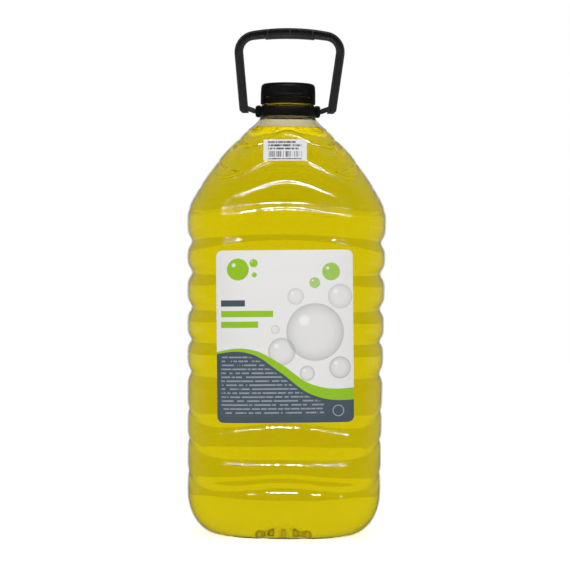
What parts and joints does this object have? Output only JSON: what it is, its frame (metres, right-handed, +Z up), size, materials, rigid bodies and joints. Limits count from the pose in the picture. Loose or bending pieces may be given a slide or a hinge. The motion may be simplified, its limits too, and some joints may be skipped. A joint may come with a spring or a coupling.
{
  "type": "dish soap bottle",
  "caption": "Large clear squarish bottle filled with yellow dish soap, with ribbed sides, a stepped shoulder, a front label, a black screw cap and a folding carry handle on the neck.",
  "frame": {"origin": "middle of the foot, on the floor", "axes": "+Z up along the neck, -Y towards the front, where the label is, +X to the right when facing the label"},
  "size_m": [0.1496, 0.1496, 0.3814],
  "materials": {
    "bottle": "gloss",
    "bottle_neck": "gloss",
    "liquid_soap": "gloss",
    "label": "satin",
    "price_sticker": "satin",
    "tamper_band": "satin",
    "cap": "satin",
    "cap_liner": "matte",
    "handle_collar": "satin",
    "handle_bail": "satin"
  },
  "bodies": {
    "container": {"bottle": "bottle", "bottle_neck": "bottle_neck", "neck_finish": "bottle_neck", "liquid_soap": "liquid_soap", "label": "label", "price_sticker": "price_sticker", "tamper_band": "tamper_band"},
    "collar": {"handle_collar": "handle_collar"},
    "bail": {"handle_bail": "handle_bail"},
    "liner": {"cap_liner": "cap_liner"},
    "screw_cap": {"cap": "cap", "cap_top": "cap"}
  },
  "joints": [
    {"name": "handle_swivel", "type": "hinge", "parent": "container", "child": "collar", "pos_m": [0, 0, 0.3188], "axis": [0, 0, 1], "continuous": true},
    {"name": "bail_fold", "type": "hinge", "parent": "collar", "child": "bail", "pos_m": [0, 0, 0.3188], "axis": [1, 0, 0], "range_deg": [-115, 115]},
    {"name": "cap_lift", "type": "slide", "parent": "container", "child": "liner", "axis": [0, 0, 1], "range_m": [0, 0.018]},
    {"name": "cap_turn", "type": "hinge", "parent": "liner", "child": "screw_cap", "pos_m": [0, 0, 0.34], "axis": [0, 0, 1], "range_deg": [0, 720]}
  ],
  "couplings": [
    {"joint": "cap_lift", "follows": "cap_turn", "m_per_rad": 0.0014324}
  ]
}
